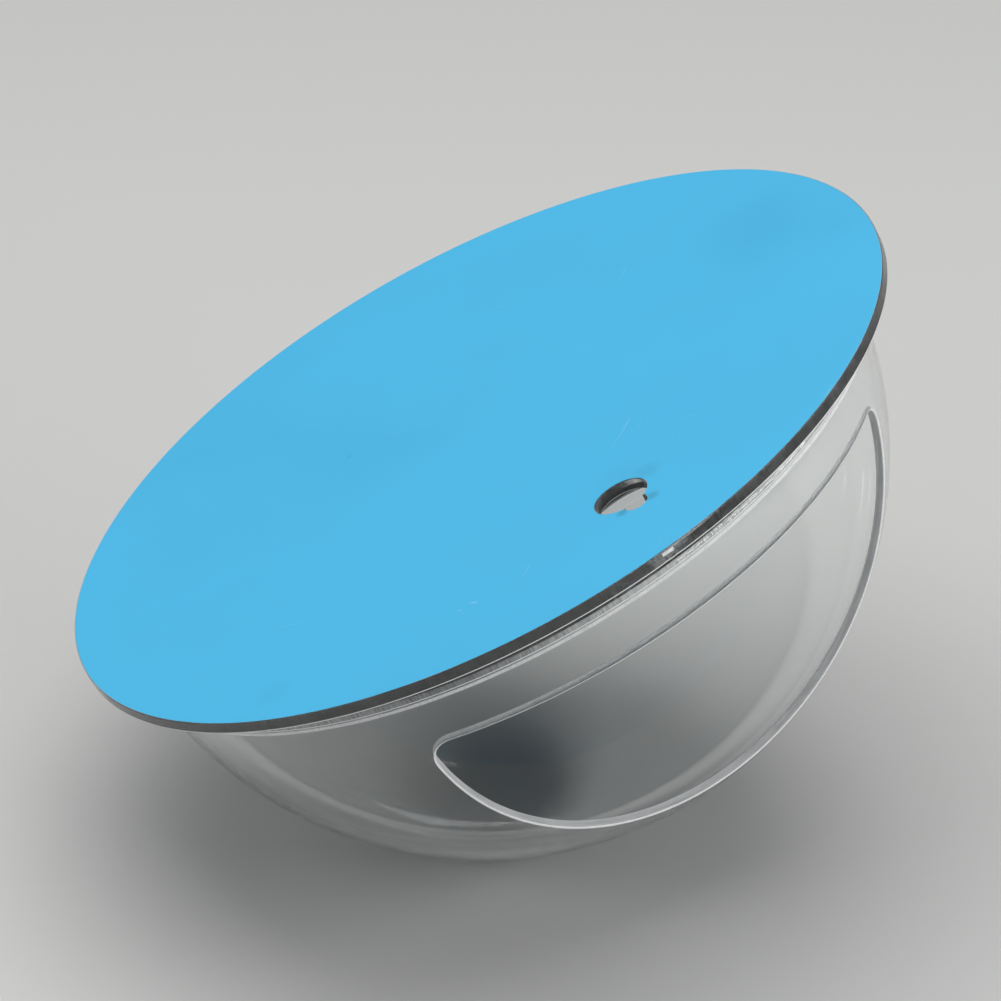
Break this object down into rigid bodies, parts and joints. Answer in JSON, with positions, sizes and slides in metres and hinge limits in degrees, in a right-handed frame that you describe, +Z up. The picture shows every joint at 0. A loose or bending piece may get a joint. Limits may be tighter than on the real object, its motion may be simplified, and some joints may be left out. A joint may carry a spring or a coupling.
{
  "type": "wall-mounted fish tank",
  "caption": "Clear acrylic dome tank with a D-shaped mouth at the top, glued to a round back with a keyhole for hanging on a wall screw; the back still carries its blue film.",
  "frame": {"origin": "middle of the round back, on the face that lies against the wall", "axes": "+Y into the wall, out of the back; +Z up, towards the mouth; the dome stands out along -Y"},
  "size_m": [0.23, 0.1097, 0.23],
  "materials": {
    "blue_film": "matt polyethylene protective film, sky blue",
    "clear_sheet": "clear cast acrylic sheet, polished faces and cut edges",
    "clear_dome": "clear blown acrylic, frosted where it is sawn"
  },
  "bodies": {
    "root": {"protective_film": "blue_film", "mounting_plate": "clear_sheet", "spacer_disc": "clear_sheet", "tank_back": "clear_sheet", "dome_shell": "clear_dome"}
  },
  "joints": []
}
